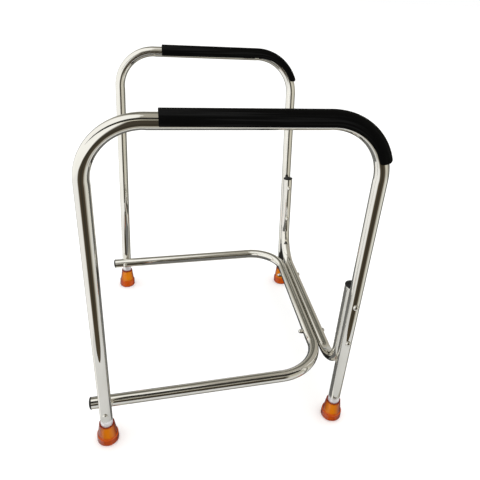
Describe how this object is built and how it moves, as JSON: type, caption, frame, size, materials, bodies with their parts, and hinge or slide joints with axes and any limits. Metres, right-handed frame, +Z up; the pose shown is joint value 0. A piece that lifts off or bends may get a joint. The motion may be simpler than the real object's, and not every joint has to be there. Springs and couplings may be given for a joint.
{
  "type": "walking and toilet support frame",
  "caption": "Free-standing tubular steel support frame: tall side hoops with grips, joined low down by a bolted U tube and a cross tube, on rubber feet.",
  "frame": {"origin": "on the floor, under the middle of the bounding box", "axes": "+X to the front, where the cross tube joins the front legs; +Y to the left side hoop; +Z up"},
  "size_m": [0.5559, 0.7082, 0.714],
  "materials": {
    "polished_steel": "mirror-polished stainless steel tube",
    "grip_rubber": "matte black extruded rubber with fine lengthwise ribs",
    "amber_rubber": "glossy translucent amber rubber",
    "plug_plastic": "satin black moulded plastic",
    "plain_steel": "plain zinc-plated steel"
  },
  "bodies": {
    "root": {"left_side_hoop": "polished_steel", "right_side_hoop": "polished_steel", "base_tube": "polished_steel", "cross_tube": "polished_steel", "left_grip": "grip_rubber", "right_grip": "grip_rubber", "left_front_foot": "amber_rubber", "left_rear_foot": "amber_rubber", "right_front_foot": "amber_rubber", "right_rear_foot": "amber_rubber", "left_front_foot_washer": "plain_steel", "left_rear_foot_washer": "plain_steel", "right_front_foot_washer": "plain_steel", "right_rear_foot_washer": "plain_steel", "left_base_plug": "plug_plastic", "right_base_plug": "plug_plastic", "left_upright_plug": "plug_plastic", "right_upright_plug": "plug_plastic", "bolt_left_rear_leg": "polished_steel", "bolt_right_rear_leg": "polished_steel", "bolt_left_front_leg_lower": "polished_steel", "bolt_right_front_leg_lower": "polished_steel", "bolt_left_front_leg_upper": "polished_steel", "bolt_right_front_leg_upper": "polished_steel", "bolt_left_crossbar": "polished_steel", "bolt_right_crossbar": "polished_steel", "acorn_nut_left_rear_leg": "polished_steel", "acorn_nut_right_rear_leg": "polished_steel", "acorn_nut_left_front_leg_lower": "polished_steel", "acorn_nut_right_front_leg_lower": "polished_steel", "acorn_nut_left_front_leg_upper": "polished_steel", "acorn_nut_right_front_leg_upper": "polished_steel", "acorn_nut_left_crossbar": "polished_steel", "acorn_nut_right_crossbar": "polished_steel"}
  },
  "joints": []
}
